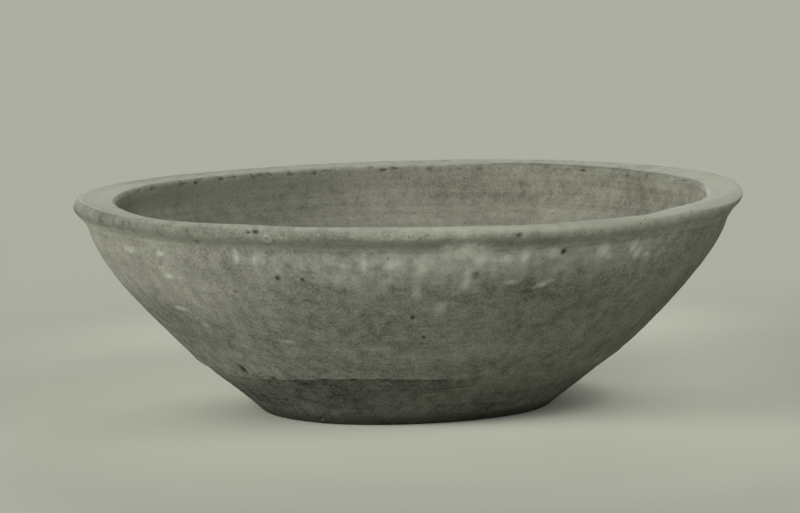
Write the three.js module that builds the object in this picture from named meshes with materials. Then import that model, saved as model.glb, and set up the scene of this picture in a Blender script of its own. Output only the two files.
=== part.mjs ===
// An unglazed earthenware bowl with a rolled rim, finished on a slow wheel and knife-trimmed at the foot.
// Millimetres, +Z up. The origin is the middle of the flat base on which the bowl stands.
// It is joined from four pieces of clay: a base disc, a lower and an upper wall ring, and a rim roll.
// Each ring is luted to the piece below it on a slanted bed that runs from the outside to the inside.
import * as THREE from 'three';

// Foot and trimmed belt
const FOOT_RADIUS = 51.8;
const FOOT_EASE = 1.2; // length over which the foot's sharp edge is softened
const TRIM_RADIUS = 76.9; // where the knife-trimmed belt stops
const TRIM_HEIGHT = 20;
const TRIM_STEP = 0.4; // depth of clay that the knife took off below the trim line

// Upper wall, outside: a curve from the trim line to the neck under the rim roll
const NECK_RADIUS = 115.3;
const NECK_HEIGHT = 68.7;
const WALL_START_ANGLE = 45.2; // degrees above the horizontal
const WALL_START_PULL = 19.4;
const WALL_END_ANGLE = 77.9;
const WALL_END_PULL = 16.8;

// Rim roll: a slanted underside, a round nose, and a top face that falls inwards to a soft lip
const RIM_RADIUS = 120;
const NOSE_RADIUS = 2.6;
const NOSE_HEIGHT = 74.4;
const TOP_FALL_ANGLE = 9.6;
const LIP_RADIUS = 1.7;
const MOUTH_RADIUS = 106;

// Inside: a flat floor, a soft bend, and a wall that follows the outside
const FLOOR_THICKNESS = 9;
const BEND_TANGENT = 14; // length of floor and of wall that the bend takes up
const WALL_THICKNESS = 8.5; // at the belt
const INNER_START_PULL = 20;
const INNER_END_PULL = 8;
const INNER_TOP_HEIGHT = 67; // where the bed of the rim roll comes out inside

// Luted joints, placed by their distance along the surfaces that they cut
const FOOT_JOINT_ON_BELT = 6.4;
const FOOT_JOINT_ON_BEND = 10.5;
const TRIM_JOINT_INSIDE = 6.5;
const JOINT_GAP = 0.4; // film of slip between two pieces, measured along the surface

// Finger spiral left on the floor when the bowl was wiped on the wheel
const SPIRAL_PITCH = 9;
const SPIRAL_HEIGHT = 0.45;
const SPIRAL_RINGS_PER_TURN = 5;

// Hand-made departures from a true round: the bowl leans to one side and rises and falls twice, and the
// inside leans further than the outside, so that the rim is wider on one side than on the other
const MOUTH_LEAN = 1.9;
const INSIDE_LEAN = 1.4;
const MOUTH_WAVE = 0.5;
const MOUTH_WAVE_BEARING = 33; // degrees from +X towards +Y, where the mouth is highest

const SEGMENTS = 72;

const point = (radius, height) => new THREE.Vector2(radius, height);

function bearing(degrees, length = 1) {
  const angle = THREE.MathUtils.degToRad(degrees);
  return point(length * Math.cos(angle), length * Math.sin(angle));
}

// Points of a curve between two distances along it
function stretch(curve, from, to, steps) {
  const length = curve.getLength();
  const distance = (i) => from + ((to - from) * i) / steps;
  return Array.from({ length: steps + 1 }, (_, i) => curve.getPointAt(distance(i) / length));
}

const wholeOf = (curve, steps) => stretch(curve, 0, curve.getLength(), steps);

function arc(centre, radius, startDegrees, endDegrees) {
  const [start, end] = [startDegrees, endDegrees].map(THREE.MathUtils.degToRad);
  return new THREE.EllipseCurve(centre.x, centre.y, radius, radius, start, end);
}

// Outside of the foot: softened edge, then the straight trimmed belt
const footCorner = point(FOOT_RADIUS, 0);
const trimLine = point(TRIM_RADIUS, TRIM_HEIGHT);
const beltRise = trimLine.clone().sub(footCorner).normalize();
const beltStart = footCorner.clone().addScaledVector(beltRise, FOOT_EASE);
const footEase = new THREE.QuadraticBezierCurve(point(FOOT_RADIUS - FOOT_EASE, 0), footCorner, beltStart);
const belt = new THREE.LineCurve(beltStart, trimLine);

// Outside of the upper wall
const beltOutward = point(beltRise.y, -beltRise.x);
const wallFoot = trimLine.clone().addScaledVector(beltOutward, TRIM_STEP);
const neck = point(NECK_RADIUS, NECK_HEIGHT);
const outerWall = new THREE.CubicBezierCurve(
  wallFoot,
  bearing(WALL_START_ANGLE, WALL_START_PULL).add(wallFoot),
  neck.clone().sub(bearing(WALL_END_ANGLE, WALL_END_PULL)),
  neck,
);

// Inside of the bowl: the bend starts on the floor and ends on the wall, round the corner between them
const wallInFromFoot = footCorner.clone().addScaledVector(beltOutward, -WALL_THICKNESS);
const climbToFloor = (FLOOR_THICKNESS - wallInFromFoot.y) / beltRise.y;
const floorCorner = wallInFromFoot.clone().addScaledVector(beltRise, climbToFloor);
const bendStart = point(floorCorner.x - BEND_TANGENT, FLOOR_THICKNESS);
const bendEnd = floorCorner.clone().addScaledVector(beltRise, BEND_TANGENT);
const floorBend = new THREE.QuadraticBezierCurve(bendStart, floorCorner, bendEnd);
const innerTop = point(MOUTH_RADIUS, INNER_TOP_HEIGHT);
const innerWall = new THREE.CubicBezierCurve(
  bendEnd,
  bendEnd.clone().addScaledVector(beltRise, INNER_START_PULL),
  point(MOUTH_RADIUS, INNER_TOP_HEIGHT - INNER_END_PULL),
  innerTop,
);

// Underside of the roll: a straight line from the neck that runs tangent into the nose
const noseCentre = point(RIM_RADIUS - NOSE_RADIUS, NOSE_HEIGHT);
const neckToNose = noseCentre.clone().sub(neck);
const noseSpread = Math.asin(NOSE_RADIUS / neckToNose.length());
const undersideAngle = THREE.MathUtils.radToDeg(neckToNose.angle() - noseSpread);
const nose = arc(noseCentre, NOSE_RADIUS, undersideAngle - 90, 90 + TOP_FALL_ANGLE);
const underside = new THREE.LineCurve(neck, nose.getPoint(0));

// Lip: the arc that the sloping top face meets as a tangent and that ends on the upright mouth wall
const topOuter = nose.getPoint(1);
const lipOffset = bearing(90 + TOP_FALL_ANGLE, LIP_RADIUS);
const lipCentreRadius = MOUTH_RADIUS + LIP_RADIUS;
const topRun = topOuter.x - lipCentreRadius - lipOffset.x;
const topDrop = topRun * Math.tan(THREE.MathUtils.degToRad(TOP_FALL_ANGLE));
const lipCentre = point(lipCentreRadius, topOuter.y - topDrop - lipOffset.y);
const lip = arc(lipCentre, LIP_RADIUS, 90 + TOP_FALL_ANGLE, 180);

// Leans and waves a point of the true round bowl, more towards the mouth; the flat base stays flat
function shapeByHand(vertex, inside) {
  const rise = vertex.z / NOSE_HEIGHT;
  const turn = 2 * (Math.atan2(vertex.y, vertex.x) - THREE.MathUtils.degToRad(MOUTH_WAVE_BEARING));
  const reach = (vertex.x ** 2 + vertex.y ** 2) / RIM_RADIUS ** 2;
  vertex.z += MOUTH_WAVE * rise * reach * Math.cos(turn);
  vertex.x += (inside ? MOUTH_LEAN + INSIDE_LEAN : MOUTH_LEAN) * rise;
}

// Height of the finger spiral over the flat floor: nothing at the middle and at the bend
function spiralHeight(vertex) {
  const radius = Math.hypot(vertex.x, vertex.y);
  if (vertex.z < FLOOR_THICKNESS || radius > bendStart.x) return 0;
  const turns = radius / SPIRAL_PITCH - Math.atan2(vertex.y, vertex.x) / (2 * Math.PI);
  const fade = Math.sin((Math.PI * radius) / bendStart.x);
  return SPIRAL_HEIGHT * fade * Math.cos(2 * Math.PI * turns);
}

// Revolves a profile of (radius, height) points about the bowl's axis and gives it its hand-made shape.
// The profile runs up the outside and down the inside; closed, it also leads back to its first point.
function turnedPiece(name, outside, inside, isClosed, material) {
  const profile = [...outside, ...inside];
  if (isClosed) profile.push(outside[0].clone());
  const geometry = new THREE.LatheGeometry(profile, SEGMENTS);
  geometry.rotateX(Math.PI / 2);
  const positions = geometry.attributes.position;
  const vertex = new THREE.Vector3();
  for (let i = 0; i < positions.count; i += 1) {
    vertex.fromBufferAttribute(positions, i);
    vertex.z += spiralHeight(vertex);
    const row = i % profile.length;
    shapeByHand(vertex, row >= outside.length && row < outside.length + inside.length);
    positions.setXYZ(i, vertex.x, vertex.y, vertex.z);
  }
  geometry.computeVertexNormals();
  const mesh = new THREE.Mesh(geometry, material);
  mesh.name = name;
  return mesh;
}

const earthenware = (color) => new THREE.MeshStandardMaterial({ color, roughness: 0.9, metalness: 0 });

// Flat disc with a bevelled edge, on which the lower wall is lapped
function baseDisc() {
  const floorRings = Math.round((bendStart.x / SPIRAL_PITCH) * SPIRAL_RINGS_PER_TURN);
  const floor = new THREE.LineCurve(bendStart, point(0, FLOOR_THICKNESS));
  const outside = [
    point(0, 0),
    ...wholeOf(footEase, 3),
    ...stretch(belt, 0, FOOT_JOINT_ON_BELT, 1).slice(1),
  ];
  const inside = [
    ...stretch(floorBend, FOOT_JOINT_ON_BEND, 0, 3),
    ...wholeOf(floor, floorRings).slice(1),
  ];
  return turnedPiece('base_disc', outside, inside, false, earthenware('#6a695f'));
}

// Ring whose outside is the knife-trimmed belt
function lowerWall() {
  const outside = stretch(belt, FOOT_JOINT_ON_BELT + JOINT_GAP, belt.getLength(), 3);
  const inside = [
    ...stretch(innerWall, TRIM_JOINT_INSIDE, 0, 2),
    ...stretch(floorBend, floorBend.getLength(), FOOT_JOINT_ON_BEND + JOINT_GAP, 5).slice(1),
  ];
  return turnedPiece('lower_wall', outside, inside, true, earthenware('#5f5e55'));
}

// Flaring ring from the trim line to the neck
function upperWall() {
  const outside = stretch(outerWall, JOINT_GAP, outerWall.getLength(), 14);
  const inside = stretch(innerWall, innerWall.getLength(), TRIM_JOINT_INSIDE + JOINT_GAP, 14);
  return turnedPiece('upper_wall', outside, inside, true, earthenware('#87867a'));
}

// Rolled rim that overhangs the neck and caps the upper wall
function rimRoll() {
  const outside = [
    ...stretch(underside, JOINT_GAP, underside.getLength(), 1),
    ...wholeOf(nose, 9).slice(1),
  ];
  const inside = [...wholeOf(lip, 5), point(MOUTH_RADIUS, INNER_TOP_HEIGHT + JOINT_GAP)];
  return turnedPiece('rim_roll', outside, inside, true, earthenware('#a09f92'));
}

const bowl = new THREE.Group();
bowl.add(baseDisc(), lowerWall(), upperWall(), rimRoll());

export default bowl;
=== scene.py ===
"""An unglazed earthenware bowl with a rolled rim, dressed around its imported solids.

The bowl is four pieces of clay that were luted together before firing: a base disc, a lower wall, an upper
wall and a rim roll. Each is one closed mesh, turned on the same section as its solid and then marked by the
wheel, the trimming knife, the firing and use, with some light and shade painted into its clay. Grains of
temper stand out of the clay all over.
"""

import logging
import math
from dataclasses import dataclass, field, replace
from enum import Enum
from functools import cached_property
from typing import Any, ClassVar

import bmesh
import bpy
import numpy as np
from mathutils import Matrix, Vector


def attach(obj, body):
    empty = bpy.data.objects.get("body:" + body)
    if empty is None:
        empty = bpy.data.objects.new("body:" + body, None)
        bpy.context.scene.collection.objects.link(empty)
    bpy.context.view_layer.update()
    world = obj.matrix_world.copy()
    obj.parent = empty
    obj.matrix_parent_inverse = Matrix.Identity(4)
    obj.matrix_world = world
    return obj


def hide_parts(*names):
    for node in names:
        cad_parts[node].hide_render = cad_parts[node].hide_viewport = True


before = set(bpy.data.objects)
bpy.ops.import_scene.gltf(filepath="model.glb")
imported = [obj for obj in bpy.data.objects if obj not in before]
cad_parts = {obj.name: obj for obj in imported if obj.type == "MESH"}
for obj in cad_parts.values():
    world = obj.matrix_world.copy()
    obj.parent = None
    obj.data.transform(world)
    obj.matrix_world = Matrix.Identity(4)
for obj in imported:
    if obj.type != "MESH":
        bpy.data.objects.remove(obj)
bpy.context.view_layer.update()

LOG = logging.getLogger("bowl")
MM = 0.001
BODY = "root"
SEGMENTS = 760  # round the bowl, the same on every piece, so that luted edges share their points
FRONT_CROWDING = 17.0  # degrees by which columns of points are drawn towards the much marked front
CURVE_POINTS = 300  # on each measured line of the section


class Face(Enum):
    """Which side of the clay a stretch of the section belongs to."""

    SOLE = "sole"
    OUTSIDE = "outside"
    RIM = "rim"
    INSIDE = "inside"
    BED = "bed"


class MarkKind(Enum):
    """What a single mark on the clay is."""

    CHIP = "chip"  # clay knocked or plucked out, darker in the hollow
    STROKE = "stroke"  # thin groove of the trimming knife; along the lip's edge one is painted dark as shade
    BLISTER = "blister"  # ring of clay lifted round a popped grain
    BLOOM = "bloom"  # pale salts that came to the surface
    STAIN = "stain_and_shade"  # dark spot of soot or of a burnt-out grain


class Zone(Enum):
    """Part of the bowl's section that takes clouds of tone by itself."""

    BELT = "trimmed belt"
    LOW_WALL = "wall at the trim line"
    MIDDLE_WALL = "middle of the wall"
    UPPER_WALL = "upper half of the wall"
    NECK = "wall just under the roll"
    UNDERSIDE = "underside of the roll"
    ROLL = "nose and top of the roll"
    INSIDE = "inside above the floor"


def hex_to_linear(code: str) -> tuple[float, float, float, float]:
    """Turns an sRGB colour to linear light.

    Args:
        code: Colour such as "#8A8B7E".

    Returns:
        Red, green, blue and an alpha of 1, in linear light.
    """
    channels = [int(code[start:start + 2], 16) / 255 for start in (1, 3, 5)]
    linear = [c / 12.92 if c <= 0.04045 else ((c + 0.055) / 1.055) ** 2.4 for c in channels]
    return (*linear, 1.0)


def add_node(
    tree: bpy.types.NodeTree, kind: str, inputs: dict[str | int, Any] | None = None, **settings: Any
) -> bpy.types.Node:
    """Adds a node with its settings and its inputs.

    Args:
        tree: Tree that gets the node.
        kind: Blender's name of the node type.
        inputs: For each socket name or number, a value to set or an output socket to link.
        **settings: Properties of the node.

    Returns:
        The new node.
    """
    node = tree.nodes.new(kind)
    for name, value in settings.items():
        setattr(node, name, value)
    for key, value in (inputs or {}).items():
        if isinstance(value, bpy.types.NodeSocket):
            tree.links.new(value, node.inputs[key])
        else:
            node.inputs[key].default_value = value
    return node


def calculate(tree: bpy.types.NodeTree, operation: str, *values: Any) -> bpy.types.NodeSocket:
    """Adds a math node for numbers or sockets and returns its result."""
    return add_node(tree, "ShaderNodeMath", dict(enumerate(values)), operation=operation).outputs[0]


def fade(
    tree: bpy.types.NodeTree, value: bpy.types.NodeSocket, start: Any, full: Any, top: Any = 1.0,
    kind: str = "SMOOTHSTEP",
) -> bpy.types.NodeSocket:
    """Adds a node whose result leads from 0, where the value is start, to a top value, where it is full."""
    inputs = {"Value": value, "From Min": start, "From Max": full, "To Max": top}
    return add_node(tree, "ShaderNodeMapRange", inputs, interpolation_type=kind).outputs["Result"]


def tint(
    tree: bpy.types.NodeTree, share: bpy.types.NodeSocket, base: Any, colour: str, clamp: bool = True
) -> bpy.types.NodeSocket:
    """Adds a node that lays an sRGB colour over a base by a share, which may run past 1 if not clamped."""
    inputs = {0: share, 6: base, 7: hex_to_linear(colour)}
    return add_node(tree, "ShaderNodeMix", inputs, data_type="RGBA", clamp_factor=clamp).outputs[2]


def new_material(name: str) -> bpy.types.Material:
    """Makes a material with an empty node tree."""
    material = bpy.data.materials.new(name)
    material.use_nodes = True
    material.node_tree.nodes.clear()
    return material


def end_in_surface(tree: bpy.types.NodeTree, inputs: dict[str, Any]) -> None:
    """Ends a material's tree in a surface with those inputs."""
    shader = add_node(tree, "ShaderNodeBsdfPrincipled", inputs)
    add_node(tree, "ShaderNodeOutputMaterial", {"Surface": shader.outputs["BSDF"]})


def new_geometry_tree(name: str, inputs: dict[str, str]) -> bpy.types.NodeTree:
    """Makes an empty tree from geometry to geometry, with further inputs by name and kind, such as Float."""
    tree = bpy.data.node_groups.new(name, "GeometryNodeTree")
    for label, kind in {"Geometry": "Geometry", **inputs}.items():
        tree.interface.new_socket(label, in_out="INPUT", socket_type=f"NodeSocket{kind}")
    tree.interface.new_socket("Geometry", in_out="OUTPUT", socket_type="NodeSocketGeometry")
    return tree


def new_object(name: str, mesh: bpy.types.Mesh) -> bpy.types.Object:
    """Puts a mesh into the scene as an object at the origin."""
    piece = bpy.data.objects.new(name, mesh)
    bpy.context.scene.collection.objects.link(piece)
    return piece


def smooth_step(values: np.ndarray, low: float | np.ndarray, high: float | np.ndarray) -> np.ndarray:
    """Rises smoothly from 0 at low to 1 at high; low may be the larger of the two."""
    share = np.clip((values - low) / (high - low), 0.0, 1.0)
    return share * share * (3.0 - 2.0 * share)


def bell(distance: np.ndarray, width: float) -> np.ndarray:
    """Falls off from 1 on both sides of 0, to about a third at the width."""
    return np.exp(-((distance / width) ** 2))


def polar(degrees: float, length: float = 1.0) -> np.ndarray:
    """Returns the (radius, height) step of that length, at an angle above the horizontal."""
    angle = math.radians(degrees)
    return length * np.array((math.cos(angle), math.sin(angle)))


def bezier(*controls: np.ndarray) -> np.ndarray:
    """Samples a Bezier curve of any degree.

    Args:
        *controls: Its control points.

    Returns:
        Points along the curve, one row each.
    """
    share = np.linspace(0.0, 1.0, CURVE_POINTS)[:, None]
    degree = len(controls) - 1
    terms = [
        math.comb(degree, i) * share**i * (1 - share) ** (degree - i) * control
        for i, control in enumerate(controls)
    ]
    return np.sum(terms, axis=0)


def arc(centre: np.ndarray, radius: float, start: float, end: float) -> np.ndarray:
    """Samples a circular arc.

    Args:
        centre: Its centre, as (radius, height).
        radius: Its radius.
        start: Angle of its first point, in degrees.
        end: Angle of its last point, in degrees.

    Returns:
        Points along the arc, one row each.
    """
    angles = np.radians(np.linspace(start, end, CURVE_POINTS))
    return centre + radius * np.stack((np.cos(angles), np.sin(angles)), axis=1)


class Curve:
    """A line of the bowl's section in millimetres, followed by the distance along it."""

    def __init__(self, start: float, *parts: np.ndarray) -> None:
        """Joins the parts and measures them.

        Args:
            start: Distance at the first point, so that one line counts on from another.
            *parts: Runs of points; each begins where the one before it ends.
        """
        points = np.concatenate([parts[0], *[part[1:] for part in parts[1:]]])
        steps = np.linalg.norm(np.diff(points, axis=0), axis=1)
        self.points = points
        self.distances = start + np.concatenate(([0.0], np.cumsum(steps)))
        slopes = np.gradient(points, self.distances, axis=0)
        self.slopes = slopes / np.linalg.norm(slopes, axis=1, keepdims=True)

    @property
    def start(self) -> float:
        """Distance at the first point."""
        return float(self.distances[0])

    @property
    def end(self) -> float:
        """Distance at the last point."""
        return float(self.distances[-1])

    def slope(self, distance: np.ndarray) -> np.ndarray:
        """Unit direction of travel at each distance, as (radius, height)."""
        return np.stack([np.interp(distance, self.distances, self.slopes[:, k]) for k in (0, 1)], axis=-1)

    def at(self, distance: np.ndarray) -> np.ndarray:
        """Finds points by distance; past either end the line runs straight on.

        Args:
            distance: Distances, in any shape of array.

        Returns:
            Points as (radius, height), in one more axis.
        """
        kept = np.clip(distance, self.start, self.end)
        places = np.stack([np.interp(kept, self.distances, self.points[:, k]) for k in (0, 1)], axis=-1)
        return places + self.slope(kept) * (distance - kept)[..., None]


@dataclass(frozen=True)
class BowlForm:
    """Driving dimensions of the bowl's section, in millimetres and degrees, the same as the solids'."""

    foot_radius: float = 51.8
    foot_ease: float = 1.2
    trim_radius: float = 76.9
    trim_height: float = 20.0
    trim_step: float = 0.4
    neck_radius: float = 115.3
    neck_height: float = 68.7
    neck_ease: float = 4.0  # run on either side of the neck that slip fills to a soft hollow
    wall_start_angle: float = 45.2
    wall_start_pull: float = 19.4
    wall_end_angle: float = 77.9
    wall_end_pull: float = 16.8
    rim_radius: float = 120.0
    nose_radius: float = 2.6
    nose_height: float = 74.4
    top_fall_angle: float = 9.6
    lip_radius: float = 1.7
    mouth_radius: float = 106.0
    floor_thickness: float = 9.0
    bend_tangent: float = 14.0
    wall_thickness: float = 8.5
    inner_start_pull: float = 20.0
    inner_end_pull: float = 8.0
    inner_top_height: float = 67.0
    foot_joint_on_belt: float = 6.4
    foot_joint_on_bend: float = 10.5
    trim_joint_inside: float = 6.5

    @cached_property
    def foot_corner(self) -> np.ndarray:
        """Where the belt would meet the ground if its edge were sharp."""
        return np.array((self.foot_radius, 0.0))

    @cached_property
    def trim_line(self) -> np.ndarray:
        """Where the knife stopped."""
        return np.array((self.trim_radius, self.trim_height))

    @cached_property
    def belt_rise(self) -> np.ndarray:
        """Unit direction up the trimmed belt."""
        step = self.trim_line - self.foot_corner
        return step / np.linalg.norm(step)

    @cached_property
    def belt_outward(self) -> np.ndarray:
        """Unit direction out of the trimmed belt."""
        return np.array((self.belt_rise[1], -self.belt_rise[0]))

    @cached_property
    def neck(self) -> np.ndarray:
        """Sharp inner corner under the rim roll."""
        return np.array((self.neck_radius, self.neck_height))

    @cached_property
    def sole(self) -> Curve:
        """Flat underside, from the axis to the softened edge of the foot."""
        edge = np.array((self.foot_radius - self.foot_ease, 0.0))
        return Curve(-edge[0], bezier(np.zeros(2), edge))

    @cached_property
    def belt(self) -> Curve:
        """Softened edge of the foot and the straight trimmed belt."""
        edge = np.array((self.foot_radius - self.foot_ease, 0.0))
        rise = self.foot_corner + self.foot_ease * self.belt_rise
        return Curve(0.0, bezier(edge, self.foot_corner, rise), bezier(rise, self.trim_line))

    @cached_property
    def wall(self) -> Curve:
        """Outside of the upper wall, from the trim line to the neck."""
        foot = self.trim_line + self.trim_step * self.belt_outward
        low = foot + polar(self.wall_start_angle, self.wall_start_pull)
        high = self.neck - polar(self.wall_end_angle, self.wall_end_pull)
        return Curve(self.belt.end, bezier(foot, low, high, self.neck))

    @cached_property
    def roll(self) -> Curve:
        """Rim roll: underside, round nose, top face that falls inwards, lip and the upright mouth."""
        centre = np.array((self.rim_radius - self.nose_radius, self.nose_height))
        to_nose = centre - self.neck
        spread = math.asin(self.nose_radius / np.linalg.norm(to_nose))
        underside = math.degrees(math.atan2(to_nose[1], to_nose[0]) - spread)
        top = 90.0 + self.top_fall_angle
        nose = arc(centre, self.nose_radius, underside - 90.0, top)
        lip_offset = polar(top, self.lip_radius)
        lip_radius = self.mouth_radius + self.lip_radius
        run = nose[-1][0] - lip_radius - lip_offset[0]
        drop = run * math.tan(math.radians(self.top_fall_angle))
        lip_centre = np.array((lip_radius, nose[-1][1] - drop - lip_offset[1]))
        lip = arc(lip_centre, self.lip_radius, top, 180.0)
        mouth = np.array((self.mouth_radius, self.inner_top_height))
        face = bezier(nose[-1], lip[0])
        return Curve(self.wall.end, bezier(self.neck, nose[0]), nose, face, lip, bezier(lip[-1], mouth))

    @cached_property
    def top_face(self) -> tuple[float, float]:
        """Distances on the roll where its top face begins, at the nose, and ends, at the lip."""
        turned = np.flatnonzero(self.roll.slopes[:, 0] < -0.98)
        return float(self.roll.distances[turned[0]]), float(self.roll.distances[turned[-1]])

    @cached_property
    def lip_end(self) -> float:
        """Distance on the roll where the lip has turned down into the mouth."""
        upright = self.roll.points[:, 0] < self.mouth_radius + 0.01
        return float(self.roll.distances[np.flatnonzero(upright)[0]])

    def inner_share(self, along: np.ndarray) -> np.ndarray:
        """How far each distance is over the rim: 0 on the outside, 1 on the inside, between on top."""
        return np.interp(along, self.top_face, (0.0, 1.0))

    def fill_neck(
        self, section: np.ndarray, outward: np.ndarray, along: np.ndarray
    ) -> tuple[np.ndarray, np.ndarray]:
        """Rounds the sharp corner under the roll.

        Args:
            section: Points as (radius, height).
            outward: Outward directions as (radius, height).
            along: Distances along the section.

        Returns:
            The points and the outward directions, changed near the neck only.
        """
        start, end = self.wall.end - self.neck_ease, self.wall.end + self.neck_ease
        low, high = self.wall.at(np.array(start)), self.roll.at(np.array(end))
        share = np.clip((along - start) / (end - start), 0.0, 1.0)[..., None]
        points = (1 - share) ** 2 * low + 2 * share * (1 - share) * self.neck + share**2 * high
        slope = (1 - share) * (self.neck - low) + share * (high - self.neck)
        slope = slope / np.linalg.norm(slope, axis=-1, keepdims=True)
        filled = (share > 0.0) & (share < 1.0)
        turned = np.stack((slope[..., 1], -slope[..., 0]), axis=-1)
        return np.where(filled, points, section), np.where(filled, turned, outward)

    @cached_property
    def bend_start(self) -> np.ndarray:
        """Where the flat floor begins to bend up into the wall."""
        return self.floor_corner - np.array((self.bend_tangent, 0.0))

    @cached_property
    def floor_corner(self) -> np.ndarray:
        """Where the floor and the inner wall would meet if nothing softened the corner."""
        inward = self.foot_corner - self.wall_thickness * self.belt_outward
        climb = (self.floor_thickness - inward[1]) / self.belt_rise[1]
        return inward + climb * self.belt_rise

    @cached_property
    def inner_wall(self) -> np.ndarray:
        """Points down the inside of the wall, from the bed of the roll to the bend."""
        foot = self.floor_corner + self.bend_tangent * self.belt_rise
        low = foot + self.inner_start_pull * self.belt_rise
        top = np.array((self.mouth_radius, self.inner_top_height))
        return bezier(top, top - np.array((0.0, self.inner_end_pull)), low, foot)

    @cached_property
    def well(self) -> Curve:
        """Inside of the bowl below the roll: wall, bend and flat floor to the axis."""
        bend = bezier(self.inner_wall[-1], self.floor_corner, self.bend_start)
        middle = np.array((0.0, self.floor_thickness))
        return Curve(self.roll.end, self.inner_wall, bend, bezier(self.bend_start, middle))

    @cached_property
    def foot_joint(self) -> tuple[float, float]:
        """Distances on the belt and in the well where the lower wall is lapped on the base disc."""
        straight = np.linalg.norm(self.trim_line - self.foot_corner) - self.foot_ease
        bend_end = self.well.end - self.bend_start[0]
        return self.belt.end - straight + self.foot_joint_on_belt, bend_end - self.foot_joint_on_bend

    @cached_property
    def trim_joint(self) -> float:
        """Distance in the well where the upper wall is lapped on the lower one."""
        wall_run = np.linalg.norm(np.diff(self.inner_wall, axis=0), axis=1).sum()
        return self.well.start + float(wall_run) - self.trim_joint_inside


@dataclass(frozen=True)
class HandShape:
    """How the hand-made bowl departs from a true round, in millimetres and degrees from +X to +Y."""

    form: BowlForm
    mouth_lean: float = 1.9
    inside_lean: float = 1.4
    mouth_wave: float = 0.5
    mouth_wave_bearing: float = 33.0
    spiral_pitch: float = 9.0
    spiral_height: float = 0.45
    belly_shift: float = 0.65  # the belly above the belt stands a little to one side
    belly_foot: tuple[float, float] = (12.0, 22.0)  # heights over which that shift sets in
    belly_top: tuple[float, float] = (52.0, 28.0)  # heights over which it ends
    lip_lift: float = 1.25  # the far side of the lip was pressed down less than the near side
    lip_lift_bearing: float = 110.0
    lip_lift_facing: tuple[float, float] = (0.0, 0.8)  # cosines of the angle from there: none, and all
    thumb_press: float = 0.6  # thumbs pressed the roll down at two places
    thumb_bearings: tuple[float, ...] = (-140.0, -56.0)
    thumb_spread: float = 24.0
    trim_wander: float = 1.6  # the knife's strokes are chords, so the trim line rises in the middle of each
    trim_drop: float = 1.3
    trim_strokes: int = 4
    trim_bearing: float = -97.0
    foot_flats: tuple[tuple[float, float], ...] = ((-67.0, 1.8), (-137.0, -1.5))  # bearing, and depth cut off
    foot_flat_spread: float = 38.0
    string_pitch: float = 2.4  # arcs that the cutting string left on the sole
    string_depth: float = 0.22
    string_centre: float = 95.0
    string_margin: tuple[float, float] = (1.5, 6.0)  # from the foot's edge: no arcs yet, and full ones

    def wander(self, bearing: np.ndarray) -> np.ndarray:
        """How far up the wall the trim line lies at each bearing, in millimetres."""
        turn = np.radians(bearing - self.trim_bearing)
        return self.trim_wander * np.cos(self.trim_strokes * turn) - self.trim_drop

    def apply(self, places: np.ndarray, sole: np.ndarray, inner: np.ndarray) -> np.ndarray:
        """Moves points of the true round bowl to where the hand-made one has them.

        Args:
            places: Points in millimetres, with x, y and z on the last axis.
            sole: True for points of the flat underside.
            inner: How far each point is over the rim, from 0 outside to 1 inside.

        Returns:
            The moved points.
        """
        x, y, z = (places[..., k].copy() for k in range(3))
        form = self.form
        radius = np.hypot(x, y)
        angle = np.arctan2(y, x)
        floor = (z >= form.floor_thickness - 1e-6) & (radius <= form.bend_start[0])
        turns = radius / self.spiral_pitch - angle / (2.0 * math.pi)
        arch = np.sin(math.pi * radius / form.bend_start[0])
        z += np.where(floor, self.spiral_height * arch * np.cos(2.0 * math.pi * turns), 0.0)
        facing = smooth_step(np.cos(angle - math.radians(self.lip_lift_bearing)), *self.lip_lift_facing)
        top = smooth_step(z, form.inner_top_height, form.nose_height - 1.0)
        z += self.lip_lift * facing * top * smooth_step(radius, form.rim_radius - 4.0, form.mouth_radius)
        on_roll = smooth_step(z, form.neck_height - 4.0, form.nose_height)
        for bearing in self.thumb_bearings:
            near = np.cos(angle - math.radians(bearing))
            pressed = smooth_step(near, math.cos(math.radians(self.thumb_spread)), 1.0)
            z -= self.thumb_press * on_roll * pressed
        for bearing, cut in self.foot_flats:
            near = np.cos(angle - math.radians(bearing))
            flat = cut * smooth_step(near, math.cos(math.radians(self.foot_flat_spread)), 1.0)
            flat = flat * smooth_step(z, form.floor_thickness, 0.0) * radius / form.foot_radius
            x -= flat * np.cos(angle)
            y -= flat * np.sin(angle)
        rise = z / form.nose_height
        wave = np.cos(2.0 * (angle - math.radians(self.mouth_wave_bearing)))
        z += self.mouth_wave * rise * (radius / form.rim_radius) ** 2 * wave
        x += (self.mouth_lean + self.inside_lean * inner) * rise
        x += self.belly_shift * smooth_step(z, *self.belly_foot) * smooth_step(z, *self.belly_top)
        ridge = np.cos(2.0 * math.pi * np.hypot(x + self.string_centre, y) / self.string_pitch)
        inward = smooth_step(form.foot_radius - radius, *self.string_margin)
        z += np.where(sole, self.string_depth * inward * (0.5 + 0.5 * ridge), 0.0)
        return np.stack((x, y, z), axis=-1)


@dataclass(frozen=True)
class Surface:
    """Points of a piece's surface, in rows along the section and columns round the bowl."""

    bearing: np.ndarray  # of the columns, in degrees
    along: np.ndarray  # distances along the section, in millimetres
    section: np.ndarray  # radius and height, in millimetres
    outward: np.ndarray  # outward direction, as radius and height

    def turned(self, pairs: np.ndarray) -> np.ndarray:
        """Turns a (radius, height) pair for each point to its bearing, as x, y and z."""
        angle = np.radians(self.bearing)
        turn = np.stack((np.cos(angle), np.sin(angle)), axis=-1)
        return np.concatenate((pairs[..., :1] * turn, pairs[..., 1:]), axis=-1)

    @property
    def height(self) -> np.ndarray:
        """Heights of the points."""
        return self.section[..., 1]

    @property
    def upward(self) -> np.ndarray:
        """Vertical part of the outward direction."""
        return self.outward[..., 1]


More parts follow.
